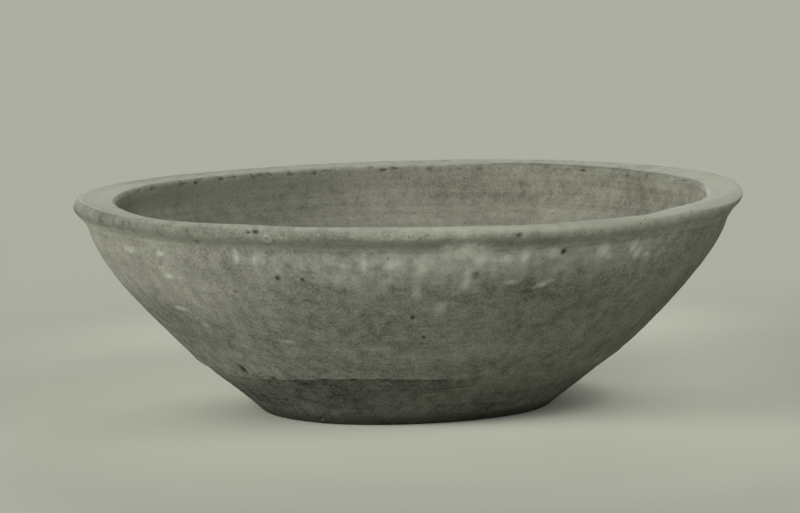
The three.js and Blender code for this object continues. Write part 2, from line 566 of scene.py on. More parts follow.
@dataclass(frozen=True)
class Side:
    """A soft sector round a bearing, none where the cosine of the angle from it is start, all where full."""

    bearing: float
    start: float
    full: float = 1.0

    @classmethod
    def within(cls, bearing: float, spread: float) -> "Side":
        """A sector that is full at its bearing only and ends at a spread in degrees."""
        return cls(bearing, math.cos(math.radians(spread)))

    def share(self, at: Surface) -> np.ndarray:
        """How far each column of points lies in the sector, from 0 to 1."""
        return smooth_step(np.cos(np.radians(at.bearing - self.bearing)), self.start, self.full)


@dataclass(frozen=True)
class MarkEffect:
    """What one kind of mark does to the clay: its depth in millimetres, and how it colours the spot."""

    depth: float = 0.0
    stain_and_shade: float = 0.0
    bloom: float = 0.0


EFFECTS = {
    MarkKind.CHIP: MarkEffect(depth=0.7, stain_and_shade=0.9),
    MarkKind.STROKE: MarkEffect(depth=0.3, stain_and_shade=0.75),
    MarkKind.BLISTER: MarkEffect(depth=-0.3, bloom=0.45),
    MarkKind.BLOOM: MarkEffect(bloom=1.0),
    MarkKind.STAIN: MarkEffect(depth=0.15, stain_and_shade=1.0),
}


@dataclass(frozen=True)
class Mark:
    """One mark on the outside or the inside of the bowl; sizes in millimetres, angles in degrees."""

    kind: MarkKind
    bearing: float
    height: float
    width: float
    tall: float
    strength: float = 1.0
    slant: float = 0.0
    inside: bool = False

    def weight(self, at: Surface) -> np.ndarray:
        """How strongly the mark acts on each point, from 0 to its strength."""
        turn = np.radians((at.bearing - self.bearing + 180.0) % 360.0 - 180.0)
        right, up = turn * at.section[..., 0], at.height - self.height
        cos, sin = polar(self.slant)
        level = 2.0 * (right * cos + up * sin) / self.width
        upright = 2.0 * (up * cos - right * sin) / self.tall
        reach = np.hypot(level, upright)
        if self.kind is MarkKind.BLISTER:
            reach = 2.5 * (reach - 0.8)
        facing = at.outward[..., 0]
        side = facing < 0.0 if self.inside else facing > -0.15
        return self.strength * bell(reach, 1.0) * side


def marks(kind: MarkKind, *rows: tuple[float, ...], inside: bool = False) -> tuple[Mark, ...]:
    """Makes marks of one kind.

    Args:
        kind: What the marks are.
        *rows: For each mark its bearing, height, width and tallness, and then its strength and slant if set.
        inside: True for marks on the inside of the bowl.

    Returns:
        The marks.
    """
    return tuple(Mark(kind, *row, inside=inside) for row in rows)


BLOOM_SPOTS = marks(
    MarkKind.BLOOM,
    (-147.5, 64.2, 9, 2.6, 0.8),
    (-138, 64.3, 5, 2, 0.9),
    (-120.5, 66, 2.8, 6.5, 0.6),
    (-116.5, 65, 6.5, 6, 0.6),
    (-138, 56.3, 4, 2.4),
    (-141.5, 44, 8, 1.8, 0.7),
    (-137, 38.5, 5, 2.2, 0.6),
    (-117, 34.5, 7, 1.6, 0.5),
    (-97.5, 65, 2.4, 6.2, 0.9),
    (-100.5, 63.5, 5.5, 1.8, 0.6),
    (-92.5, 64, 6, 3.6, 0.8),
    (-87.5, 62.5, 3.6, 3, 0.7),
    (-88.5, 53.7, 3.8, 6.4, 0.6),
    (-84, 48, 5, 6.2, 0.4),
    (-80, 58, 3.2, 9.5, 0.6),
    (-78, 65, 5, 3.3, 0.9),
    (-73.5, 64.6, 4.4, 3.8, 0.9),
    (-70, 65.3, 4.4, 6, 0.9),
    (-65, 66.5, 7, 5, 0.6),
    (-80.5, 69, 17, 6, 0.9),
    (-72, 56.5, 5.5, 1.4, 0.8),
    (-65.5, 55, 7, 2.2, 1, 18),
    (-55, 65.2, 4.4, 5.6, 1.3),
    (-53.4, 63, 4.6, 3.6, 0.9),
    (-48, 66, 2.8, 5.4, 1.2, -18),
    (-46.6, 63, 4, 3.8, 1.1),
    (-43.8, 62, 3.6, 2, 0.9),
)
STAIN_SPOTS = marks(
    MarkKind.STAIN,
    (-113.3, 58.7, 1.9, 1.6, 1.4),
    (-108.7, 58.3, 1.4, 1.6, 1.3),
    (-122.5, 61, 2.2, 1.6, 0.7),
    (-123, 52.8, 2.2, 1.3, 0.8),
    (-101.3, 54.8, 1.5, 3, 0.7),
    (-110, 39.8, 1.8, 1.6, 0.7, -40),
    (-120, 33.5, 3.4, 1.3, 0.7),
    (-155, 52.6, 2.4, 1.6, 0.6),
    (-139, 60.6, 3.4, 2, 0.5),
    (-78.3, 59.6, 2.9, 3.3, 0.8),
    (-63, 66.5, 2.3, 2.3, 1.2, 25),
    (-85, 56, 2.2, 1.5, 0.7),
    (-89.2, 44.5, 1.6, 1.6, 1.3),
    (-87, 36.6, 1.8, 1.1, 1.3, -30),
    (-87.3, 34.3, 1.5, 1.5, 0.8),
    (-68.3, 52.5, 6.5, 1.6, 0.8),
    (-156.5, 67, 2, 1.6, 0.8),
    (-127.5, 70.5, 2.6, 1.6, 0.8),
    (-48, 32.7, 2, 1.3, 0.6),
)
INSIDE_STAINS = marks(
    MarkKind.STAIN,
    (86, 73.4, 2, 1.4, 0.9),
    (75.5, 73.3, 3, 1.2, 0.8),
    (40, 73.3, 3, 1.2, 0.8),
    (101, 64.5, 1.4, 1.4, 0.9),
    inside=True,
)
RIM_CHIPS = marks(
    MarkKind.CHIP,
    (-115.4, 75, 2.4, 1.6, 1.5),
    (-116.7, 74.7, 1.6, 1.4, 1.2),
    (-110.5, 74.8, 2.4, 2.9, 0.5),
    (-72, 73.5, 2.5, 2.5, 0.9),
    (38, 74.5, 5, 2.6, 0.9),
    (127, 74.8, 3, 2),
)
LIP_CHIPS = marks(
    MarkKind.CHIP,
    (115.5, 73.6, 3, 1.6, 0.8),
    (107, 73.8, 4, 1.4, 0.5),
    (124, 73.4, 4, 1.6, 0.5),
    inside=True,
)
TRIM_CHIPS = marks(
    MarkKind.CHIP,
    (-137.8, 20.4, 3, 4.2, 1.4),
    (-119, 16.1, 5, 2.4, 1.4),
    (-128, 18.4, 2.4, 1.4, 0.9),
    (-112, 18.6, 2.6, 1.3, 0.9),
    (-104.5, 18.9, 2, 1.3, 0.9),
    (-96, 18.9, 2.6, 1.3, 0.8),
)
BLISTERS = marks(
    MarkKind.BLISTER,
    (-113.4, 72.7, 3.2, 2.9),
    (-93.2, 74, 3.6, 3.3, 0.6),
    (-89.2, 74, 3.2, 3.3, 0.6),
)
KNIFE_STROKES = marks(
    MarkKind.STROKE,
    (-77, 15.2, 20, 0.9, 0.9, 3),
    (-80, 13.6, 14, 0.8, 0.6, 3),
    (-83, 11.3, 4, 0.9, 0.7),
    (12, 14, 24, 0.9, 0.8, 2),
    (95, 12, 18, 0.9, 0.7, -3),
    (170, 15, 22, 0.9, 0.8, 3),
)
# A thin dark line painted along the far lip's inner edge, in a shallow groove: painted shade
LIP_EDGE_SHADE = marks(
    MarkKind.STROKE,
    (19.5, 74.9, 18, 0.24, 1.2, -6.8),
    inside=True,
)


def lip_nicks(count: int, first: float, last: float, seed: int) -> tuple[Mark, ...]:
    """Knocks small nicks out of the inner lip, at random places.

    Args:
        count: How many nicks.
        first: Bearing where they begin.
        last: Bearing where they end.
        seed: Seed of the random places and sizes.

    Returns:
        The nicks as marks.
    """
    random = np.random.default_rng(seed)
    low, high = (first, 73.2, 1.0, 0.7, 0.3), (last, 75.1, 3.8, 1.9, 1.1)
    return marks(MarkKind.CHIP, *random.uniform(low, high, (count, 5)).tolist(), inside=True)


LIP_NICKS = (*lip_nicks(40, 92.0, 165.0, 5), *lip_nicks(10, 10.0, 88.0, 6), *lip_nicks(12, -170.0, 10.0, 7))
MARKS = (
    *BLOOM_SPOTS, *STAIN_SPOTS, *INSIDE_STAINS, *RIM_CHIPS, *LIP_CHIPS, *TRIM_CHIPS, *BLISTERS, *LIP_NICKS,
    *KNIFE_STROKES, *LIP_EDGE_SHADE,
)


@dataclass(frozen=True)
class FiredClay:
    """Low-fired earthenware, unglazed and matt, as one way of working leaves it.

    Dry porous clay scatters light evenly, with hardly any gloss. The firing clouds it over a few centimetres,
    the wiping hand leaves streaks round it, and the temper speckles it.
    """

    name: str
    pale: str
    dark: str
    cloud_mm: float = 34.0
    cloud: float = 0.7
    streak_mm: float = 2.6
    streak: float = 0.14
    streaks_round: float = 1.6  # how often a streak starts anew in one radian round the bowl
    mottle_mm: float = 4.4
    mottle: float = 1.1
    speckle_mm: float = 0.8
    speckle: float = 1.15
    rag_mm: float = 2.6  # breaks the edges of spots
    # weight of the clouds of tone, some of which are painted light and shade
    fire_and_painted_light: float = 0.5
    bump_mm: float = 0.16
    roughness: float = 0.93
    specular: float = 0.08
    # pale cover of the rubbed roll, in places painted light and shade
    worn_and_lit: str = "#999B8C"
    polish: str = "#BDBFAF"
    bloom: str = "#9EA093"
    # dark cover of stains and chips, and of the painted shade in the trim line's groove and along the lip's
    # edge
    stain_and_shade: str = "#36352D"
    # dark cover: painted shade under the roll and inside below the lip, and darker towards the foot's edge
    shade_and_dirt: str = "#46463D"
    grit_dark: str = "#424139"
    grit_pale: str = "#88877C"

    def build(self) -> bpy.types.Material:
        """Makes the node material.

        Returns:
            The material, which reads Object coordinates and the clay's own attributes.
        """
        material = new_material(self.name)
        tree = material.node_tree
        place = add_node(tree, "ShaderNodeTexCoord").outputs["Object"]
        wheel = add_node(tree, "ShaderNodeAttribute", attribute_name="wheel").outputs["Vector"]
        spacing = (self.streaks_round, self.streaks_round, 1.0 / (self.streak_mm * MM))
        along = add_node(tree, "ShaderNodeVectorMath", {0: wheel, 1: spacing}, operation="MULTIPLY")
        fields = {}
        for name, vector, scale, detail in (
            ("cloud", place, 1.0 / (self.cloud_mm * MM), 3.0),
            ("streak", along.outputs["Vector"], 1.0, 3.0),
            ("mottle", place, 1.0 / (self.mottle_mm * MM), 5.0),
            ("speckle", place, 1.0 / (self.speckle_mm * MM), 2.0),
            ("rag", place, 1.0 / (self.rag_mm * MM), 4.0),
        ):
            inputs = {"Vector": vector, "Scale": scale, "Detail": detail, "Roughness": 0.6}
            fields[name] = add_node(tree, "ShaderNodeTexNoise", inputs).outputs["Fac"]
        rag = fields.pop("rag")
        fields["fire_and_painted_light"] = add_node(tree, "ShaderNodeAttribute", attribute_name="fire_and_painted_light").outputs["Fac"]
        weights = {name: 2.0 * getattr(self, name) for name in fields}
        tone: Any = 0.5 - 0.5 * sum(weights.values())
        for name, pattern in fields.items():
            tone = calculate(tree, "MULTIPLY_ADD", pattern, weights[name], tone)
        tone = add_node(tree, "ShaderNodeClamp", {"Value": tone, "Min": -0.6, "Max": 3.0}).outputs[0]
        colour = tint(tree, tone, hex_to_linear(self.dark), self.pale, clamp=False)
        for attribute, breaker, contrast, cover in (
            # rubbed paleness, in places painted light and shade
            ("wear_and_painted_light", fields["mottle"], 1.4, self.worn_and_lit),
            ("polish", fields["mottle"], 0.6, self.polish),
            ("veil", fields["mottle"], 1.6, self.bloom),
            # painted shade under the roll and inside below the lip, and darker towards the foot's edge
            ("shade_and_dirt", fields["mottle"], 2.8, self.shade_and_dirt),
            ("bloom", rag, 2.6, self.bloom),
            # stains and chips, with painted shade in the trim line's groove and along the lip's edge
            ("stain_and_shade", rag, 2.4, self.stain_and_shade),
        ):
            colour = tint(tree, self.broken_edge(tree, attribute, breaker, contrast), colour, cover)
        for spacing_mm, radius, chance, cover in (
            (2.6, 0.16, 0.72, self.grit_dark),
            (2.9, 0.14, 0.78, self.grit_pale),
        ):
            colour = tint(tree, self.grains(tree, place, spacing_mm, radius, chance), colour, cover)
        height = calculate(tree, "MULTIPLY_ADD", fields["speckle"], 0.6, fields["streak"])
        bump = {"Height": height, "Strength": 0.6, "Distance": self.bump_mm * MM}
        normal = add_node(tree, "ShaderNodeBump", bump).outputs["Normal"]
        surface = {"Base Color": colour, "Normal": normal, "Roughness": self.roughness}
        end_in_surface(tree, {**surface, "Specular IOR Level": self.specular})
        return material

    @staticmethod
    def broken_edge(
        tree: bpy.types.NodeTree, attribute: str, breaker: bpy.types.NodeSocket, contrast: float
    ) -> bpy.types.NodeSocket:
        """Turns a soft attribute to a patch with a ragged edge.

        Args:
            tree: Tree of the material.
            attribute: Name of the attribute, about 0 to 1.
            breaker: Noise that eats into the patch.
            contrast: How hard the noise bites.

        Returns:
            The patch's share, from 0 to 1.
        """
        soft = add_node(tree, "ShaderNodeAttribute", attribute_name=attribute).outputs["Fac"]
        eaten = calculate(tree, "MULTIPLY_ADD", breaker, contrast, 1.0 - 0.5 * contrast)
        return fade(tree, calculate(tree, "MULTIPLY", soft, eaten), 0.05 * contrast, 1.0, kind="LINEAR")

    @staticmethod
    def grains(
        tree: bpy.types.NodeTree, place: bpy.types.NodeSocket, spacing_mm: float, radius: float, chance: float
    ) -> bpy.types.NodeSocket:
        """Scatters small round specks.

        Args:
            tree: Tree of the material.
            place: Object coordinates.
            spacing_mm: Distance between places where a speck may be.
            radius: Radius of a speck, as a share of the spacing.
            chance: Level that a place's own random value has to pass.

        Returns:
            The specks' share, from 0 to 1.
        """
        cells = {"Vector": place, "Scale": 1.0 / (spacing_mm * MM)}
        cell = add_node(tree, "ShaderNodeTexVoronoi", cells).outputs
        chosen = calculate(tree, "GREATER_THAN", cell["Color"], chance)
        return fade(tree, cell["Distance"], radius, 0.4 * radius, chosen, kind="LINEAR")


# Wiped on the wheel with a wet hand: a fine slip covers the grit and lies in long streaks round the wall
WIPED_CLAY = FiredClay("earthenware wiped on the wheel", pale="#727268", dark="#515149")
# Scraped with a knife when stiff: the slip is gone, so the body shows darker, dragged and gritty
TRIMMED_CLAY = FiredClay(
    "earthenware knife-trimmed", pale="#5A5A51", dark="#3B3B34", streak_mm=1.5, streak=0.25, bump_mm=0.25,
    shade_and_dirt="#26261F",
)
# Handled and stood on its mouth: the roll is rubbed smooth and pale, most of all on top
RIM_CLAY = FiredClay("earthenware rubbed rim", pale="#7C7D71", dark="#616257", mottle=1.2, speckle=0.9)
# The inside was wiped with the fingers in one long spiral and is a little dulled by use
INSIDE_CLAY = FiredClay(
    "earthenware inside of bowl", pale="#7D7D70", dark="#646458", cloud=0.9, streak_mm=2.2, streak=0.8,
    speckle=1.0,
)


@dataclass(frozen=True)
class HandFinish:
    """What fingers, wiping and firing do to a turned surface; sizes and depths in millimetres."""

    swell_size: float = 46.0
    swell: float = 0.3
    furrow_pitch: float = 3.4
    furrow: float = 0.08
    furrows_round: float = 1.3  # how often a furrow starts anew in one radian round the bowl
    grain_size: float = 2.4
    grain: float = 0.08
    pit_spacing: float = 12.0
    pit_radius: float = 1.0
    pit_depth: float = 0.45
    pit_level: float = 0.55  # a place has a pit if its own random value, from 0 to 1, passes this level
    seed: float = 4.0

    TREE: ClassVar[str] = "hand finish"

    def tree(self) -> bpy.types.NodeTree:
        """Builds the node tree once, and hands the same one out afterwards.

        Returns:
            A tree that pushes a piece's skin in and out and gives it its two clays.
        """
        made = bpy.data.node_groups.get(self.TREE)
        if made:
            return made
        clays = dict.fromkeys(("outside clay", "inside clay"), "Material")
        tree = new_geometry_tree(self.TREE, dict.fromkeys(self.sizes(), "Float") | clays)
        given = add_node(tree, "NodeGroupInput").outputs
        place = add_node(tree, "GeometryNodeInputPosition").outputs[0]
        kinds = {"wheel": "FLOAT_VECTOR", "outward": "FLOAT_VECTOR", "skin": "FLOAT", "inside": "BOOLEAN"}
        wheel, outward, skin, inside = (
            add_node(tree, "GeometryNodeInputNamedAttribute", {"Name": name}, data_type=kind).outputs[0]
            for name, kind in kinds.items()
        )
        inverse = {
            name: calculate(tree, "DIVIDE", 1.0, given[name])
            for name in ("swell size", "furrow pitch", "grain size", "pit spacing")
        }
        stretch = {0: self.furrows_round, 1: self.furrows_round, 2: inverse["furrow pitch"]}
        stretch = add_node(tree, "ShaderNodeCombineXYZ", stretch).outputs[0]
        turned = add_node(tree, "ShaderNodeVectorMath", {0: wheel, 1: stretch}, operation="MULTIPLY")
        push: Any = 0.0
        for depth, vector, scale, detail in (
            ("swell", place, inverse["swell size"], 1.0),
            ("furrow", turned.outputs[0], 1.0, 2.0),
            ("grain", place, inverse["grain size"], 3.0),
        ):
            inputs = {"Vector": vector, "Scale": scale, "Detail": detail, "W": given["seed"]}
            noise = add_node(tree, "ShaderNodeTexNoise", inputs, noise_dimensions="4D").outputs["Fac"]
            even = calculate(tree, "MULTIPLY_ADD", noise, 4.0, -2.0)
            push = calculate(tree, "MULTIPLY_ADD", even, given[depth], push)
        cells = {"Vector": place, "Scale": inverse["pit spacing"]}
        cell = add_node(tree, "ShaderNodeTexVoronoi", cells).outputs
        reach = calculate(tree, "MULTIPLY", cell["Distance"], given["pit spacing"])
        chosen = calculate(tree, "GREATER_THAN", cell["Color"], self.pit_level)
        hollow = fade(tree, reach, given["pit radius"], 0.0, chosen)
        push = calculate(tree, "SUBTRACT", push, calculate(tree, "MULTIPLY", hollow, given["pit depth"]))
        push = calculate(tree, "MULTIPLY", push, skin)
        offset = add_node(tree, "ShaderNodeVectorMath", {0: outward, "Scale": push}, operation="SCALE")
        moved = {"Geometry": given["Geometry"], "Offset": offset.outputs[0]}
        moved = add_node(tree, "GeometryNodeSetPosition", moved).outputs[0]
        clay = add_node(tree, "GeometryNodeRealizeInstances", {"Geometry": moved}).outputs[0]
        for name, faces in (("outside clay", {}), ("inside clay", {"Selection": inside})):
            dressed = {"Geometry": clay, "Material": given[name], **faces}
            clay = add_node(tree, "GeometryNodeSetMaterial", dressed).outputs[0]
        add_node(tree, "NodeGroupOutput", {"Geometry": clay})
        return tree

    def sizes(self) -> dict[str, float]:
        """Returns the tree's named sizes, with lengths in metres."""
        lengths = (
            "swell_size", "swell", "furrow_pitch", "furrow", "grain_size", "grain",
            "pit_spacing", "pit_radius", "pit_depth",
        )
        metres = {name.replace("_", " "): getattr(self, name) * MM for name in lengths}
        return {**metres, "seed": self.seed}

    def apply(self, piece: bpy.types.Object, outside: bpy.types.Material, inside: bpy.types.Material) -> None:
        """Works a piece's skin and leaves it a plain mesh.

        Args:
            piece: The turned piece.
            outside: Clay of its outside.
            inside: Clay of its inside.
        """
        values = {**self.sizes(), "outside clay": outside, "inside clay": inside}
        run_tree(piece, self.tree(), values)


def run_tree(piece: bpy.types.Object, tree: bpy.types.NodeTree, values: dict[str, Any]) -> None:
    """Runs a geometry tree on a piece and keeps the result as the piece's own plain mesh.

    Args:
        piece: Object whose mesh the tree takes.
        tree: Geometry tree.
        values: Value of each named input.
    """
    modifier = piece.modifiers.new(tree.name, "NODES")
    modifier.node_group = tree
    for item in tree.interface.items_tree:
        if item.in_out == "INPUT" and item.name in values:
            modifier[item.identifier] = values[item.name]
    depsgraph = bpy.context.evaluated_depsgraph_get()
    source = piece.data
    mesh = bpy.data.meshes.new_from_object(piece.evaluated_get(depsgraph), depsgraph=depsgraph)
    piece.modifiers.clear()
    piece.data = mesh
    bpy.data.meshes.remove(source)
    mesh.name = piece.name


@dataclass(frozen=True)
class Stretch:
    """A run of one line of the section between two distances, with its spacing in millimetres."""

    curve: Curve
    start: float
    end: float
    face: Face
    spacing: float
    start_wanders: bool = False
    end_wanders: bool = False


@dataclass
class TurnedRows:
    """Rows of points from the section, each repeated at every bearing round the bowl."""

    form: BowlForm
    section: list[np.ndarray] = field(default_factory=list)
    outward: list[np.ndarray] = field(default_factory=list)
    along: list[np.ndarray] = field(default_factory=list)
    inner: list[np.ndarray] = field(default_factory=list)
    faces: list[Face] = field(default_factory=list)
    spans: list[Face] = field(default_factory=list)

    def add_stretch(self, stretch: Stretch, wander: np.ndarray, skip_first: bool) -> None:
        """Appends the rows of a visible stretch.

        Args:
            stretch: What to sample.
            wander: How far a wandering end moves along the line at each bearing.
            skip_first: True where the first row is there already.
        """
        count = max(2, round((stretch.end - stretch.start) / stretch.spacing) + 1)
        start = stretch.start + wander * stretch.start_wanders
        end = stretch.end + wander * stretch.end_wanders
        share = np.linspace(0.0, 1.0, count)[int(skip_first):, None]
        along = start + (end - start) * share
        slope = stretch.curve.slope(along)
        self.section.extend(stretch.curve.at(along))
        self.outward.extend(np.stack((slope[..., 1], -slope[..., 0]), axis=-1))
        self.along.extend(along)
        self.inner.extend(self.form.inner_share(along))
        self.faces.extend([stretch.face] * len(along))
        self.spans.extend([stretch.face] * (count - 1))

    def add_bed(self, target: np.ndarray, target_inner: np.ndarray, rows: int) -> None:
        """Appends the hidden rows of a luted bed, straight from the last row towards a target row.

        Args:
            target: Row that the bed leads to, which isn't added.
            target_inner: How far that row is over the rim.
            rows: Count of rows between.
        """
        last, outward, along, inner = self.section[-1], self.outward[-1], self.along[-1], self.inner[-1]
        for share in np.linspace(0.0, 1.0, rows + 2)[1:-1]:
            self.section.append(last + (target - last) * share)
            self.outward.append(outward)
            self.along.append(along)
            self.inner.append(inner + (target_inner - inner) * share)
        self.faces.extend([Face.BED] * rows)
        self.spans.extend([Face.BED] * (rows + 1))


@dataclass(frozen=True)
class ToneCloud:
    """A soft cloud of tone in a zone of the clay: paler above 0, darker below; in degrees. Most are the
    firing's; a few are painted light and shade.
    """

    zone: Zone
    tone: float
    bearing: float
    spread: float


@dataclass(frozen=True)
class Weathering:
    """How making, firing, use and soil toned the clay, and where light and shade are painted into it, as
    shares for each point of a surface.

    Each method takes the surface; its steps along the section are in millimetres.
    """

    form: BowlForm
    hand: HandShape
    shaded_groove: Side = Side(-112.0, 0.75, 0.95)  # a dark line is painted in the groove at the trim line, as shade
    rubbed_face: Side = Side(-20.0, 0.2, 0.9)  # the roll's face is rubbed like its top
    lit_flat_shaded_nose: Side = Side(-172.0, 0.75, 0.97)  # at the left end of the roll, the flat is painted paler as light and the nose darker as shade
    darker_tops: tuple[tuple[float, Side], ...] = (  # share of the rubbed paleness taken away, and where: the far rim, and the left crest as painted shade
        (0.18, Side(90.0, 0.1, 0.6)),
        (0.33, Side(-132.0, 0.65, 0.95)),
    )
    shaded_lip: Side = Side(40.0, 0.74, 0.93)  # the pale rubbing stops short of the lip here, as painted shade on it
    spill_bearing: float = -7.0  # the rubbing runs over the lip into the mouth
    held_crest: Side = Side(-20.0, 0.76, 0.96)  # hands took hold of the outer crest
    held_low: Side = Side(0.0, 0.75, 0.97)  # and here further down its face
    held_flat: Side = Side(-170.0, 0.75, 0.97)  # and, on the other side, of the flat top
    shaded_neck: Side = Side(-104.0, 0.5, 0.9)  # painted shade, with some soiling, just under the roll
    shaded_mouth: Side = Side(140.0, 0.3, 0.9)  # painted shade inside below the lip
    dried_first: Side = Side(-75.0, 0.6)  # salts came to the surface of the upper wall
    clouds: tuple[ToneCloud, ...] = (
        ToneCloud(Zone.BELT, -0.25, -140.0, 40.0),
        ToneCloud(Zone.LOW_WALL, -0.2, -72.0, 40.0),
        ToneCloud(Zone.MIDDLE_WALL, 0.14, -73.0, 42.0),
        ToneCloud(Zone.UPPER_WALL, 0.85, -160.0, 55.0),
        ToneCloud(Zone.UPPER_WALL, 0.3, -18.0, 48.0),
        ToneCloud(Zone.NECK, 0.2, -82.0, 10.0),
        ToneCloud(Zone.NECK, -0.35, -99.0, 15.0),
        # the three clouds on the underside of the roll are painted light, paler clay that lifts its shade
        ToneCloud(Zone.UNDERSIDE, 0.1, -15.0, 45.0),
        ToneCloud(Zone.UNDERSIDE, 0.45, -50.0, 32.0),
        ToneCloud(Zone.UNDERSIDE, 0.8, -162.0, 46.0),
        ToneCloud(Zone.ROLL, 0.35, -38.0, 70.0),
        ToneCloud(Zone.ROLL, 0.4, -60.0, 45.0),
        # painted shade: darker clay on the left of the roll, where the low window lights it
        ToneCloud(Zone.ROLL, -0.35, -145.0, 45.0),
        ToneCloud(Zone.INSIDE, 0.62, 165.0, 50.0),
        ToneCloud(Zone.INSIDE, -0.33, 64.0, 40.0),
        ToneCloud(Zone.INSIDE, 0.12, 85.0, 40.0),
    )

    @staticmethod
    def mark_layers(at: Surface) -> tuple[np.ndarray, np.ndarray, np.ndarray]:
        """Gathers what all the marks do: depth in millimetres, and shares of dark staining, with the painted
        shade of a groove along the lip, and of pale bloom.
        """
        depth, stain_and_shade, bloom = (np.zeros(at.along.shape) for _ in range(3))
        for mark in MARKS:
            effect = EFFECTS[mark.kind]
            weight = mark.weight(at)
            depth += effect.depth * weight
            stain_and_shade = np.maximum(stain_and_shade, effect.stain_and_shade * weight)
            bloom = np.maximum(bloom, effect.bloom * weight)
        return depth, stain_and_shade, bloom

    def trim_groove_shade(self, at: Surface) -> np.ndarray:
        """Dark broken line painted in the groove at the trim line: painted shade."""
        fine, coarse = (np.sin(np.radians(at.bearing * count)) for count in (113.0, 47.0))
        off = at.along - self.form.belt.end - self.hand.wander(at.bearing) + 0.3
        return 0.9 * self.shaded_groove.share(at) * (0.55 + 0.25 * coarse + 0.2 * fine) * bell(off, 0.6)

    def wear_and_painted_light(self, at: Surface) -> np.ndarray:
        """Pale rubbed clay on top of the roll, which on one side also runs over the lip into the mouth.
        Painted light makes the flat paler at the left end; painted shade makes the nose there, the left crest
        and the far right lip darker; the far rim is less pale.
        """
        upward, along, lip = at.upward, at.along, self.form.lip_end
        rubbed, top_lit_share = self.rubbed_face.share(at), self.lit_flat_shaded_nose.share(at)
        # painted light and shade: at the left end the nose is darker and the flat paler
        nose = 0.6 - 0.45 * top_lit_share
        flat = smooth_step(upward, 0.9 + 0.07 * top_lit_share, 0.985)
        top = nose * smooth_step(upward, 0.35, 0.9) + (1.0 - nose) * flat
        face = (1.0 - rubbed) * 0.2 * smooth_step(upward, -0.5, 0.3) + rubbed * smooth_step(upward, -0.3, 0.5)
        top = np.minimum(top + face, 1.0) * (1.0 + 0.25 * top_lit_share)
        # less pale on the far rim, and on the left crest as painted shade
        for loss, side in self.darker_tops:
            top = top * (1.0 - loss * side.share(at))
        spill = smooth_step(np.abs(at.bearing - self.spill_bearing), 20.0, 3.0)
        spill = spill * smooth_step(along, lip + 16.0, lip + 4.0)
        # painted shade: the lip on the far right is left darker
        end = lip - 3.0 * self.shaded_lip.share(at)
        shown = np.maximum(spill, smooth_step(along, end + 1.0, end - 1.0))
        return top * shown * (along > self.form.wall.end)

    def polish(self, at: Surface) -> np.ndarray:
        """Palest clay, where hands held the roll: the outer crest on one side, the top on the other."""
        face_start = self.form.top_face[0]
        on_top = (at.along > self.form.wall.end) * (at.along < self.form.lip_end)
        low = 0.4 - 0.45 * self.held_low.share(at)
        crest = smooth_step(at.upward, low, low + 0.3) * on_top
        crest = crest * smooth_step(at.along, face_start + 1.5, face_start - 1.5)
        flat = smooth_step(at.upward, 0.975, 0.985) * on_top
        return 0.75 * self.held_crest.share(at) * crest + 0.25 * self.held_flat.share(at) * flat

    def shade_and_dirt(self, at: Surface) -> np.ndarray:
        """Darkening: painted shade with some soiling under the roll, darker towards the foot's edge, and
        painted shade inside below the lip.
        """
        form, along = self.form, at.along
        neck = 0.34 * self.shaded_neck.share(at) * bell(along - form.wall.end - 2.8, 2.4)
        foot = 0.9 * smooth_step(along, 11.0, 1.0) * (along > 0.0)
        mouth = 0.12 * smooth_step(np.abs(along - form.well.start), 14.0, 4.0)
        mouth = mouth + 0.18 * bell(along - form.lip_end - 2.5, 2.5)
        return neck + foot + self.shaded_mouth.share(at) * mouth

    def fire_and_painted_light(self, at: Surface) -> np.ndarray:
        """Tone of the clay, with 0.5 where nothing changed it on wall and roll: the firing's clouds, with
        painted light under the roll and painted shade on the left of the roll.
        """
        along, trim, neck, well = at.along, self.form.belt.end, self.form.wall.end, self.form.well.start
        inner = self.form.inner_share(along)
        wall, roll = along <= neck, (along > neck) * (1.0 - inner)
        floor = smooth_step(along, well, well + 18.0)
        zones = {
            Zone.BELT: wall * smooth_step(along, trim + 3.0, trim - 3.0),
            Zone.LOW_WALL: wall * smooth_step(np.abs(along - trim - 2.0), 14.0, 2.0),
            Zone.MIDDLE_WALL: wall * smooth_step(np.abs(along - trim - 28.0), 32.0, 12.0),
            Zone.UPPER_WALL: wall * smooth_step(along, trim + 26.0, trim + 48.0),
            Zone.NECK: wall * smooth_step(np.abs(along - neck + 4.5), 5.5, 2.5),
            Zone.UNDERSIDE: roll * smooth_step(along, neck + 7.0, neck + 3.0),
            Zone.ROLL: roll * smooth_step(along, neck + 3.0, neck + 7.0),
            Zone.INSIDE: inner * (1.0 - floor),
        }
        tone = 0.5 + 0.5 * inner * floor
        for cloud in self.clouds:
            tone = tone + cloud.tone * Side.within(cloud.bearing, cloud.spread).share(at) * zones[cloud.zone]
        return tone

    def veil(self, at: Surface) -> np.ndarray:
        """Thin pale bloom that gathers under the roll on the side that dried first."""
        neck = self.form.wall.end
        upper = smooth_step(at.height, 50.0, 66.0) * smooth_step(at.along, neck + 1.0, neck - 1.5)
        return 0.5 * self.dried_first.share(at) * upper


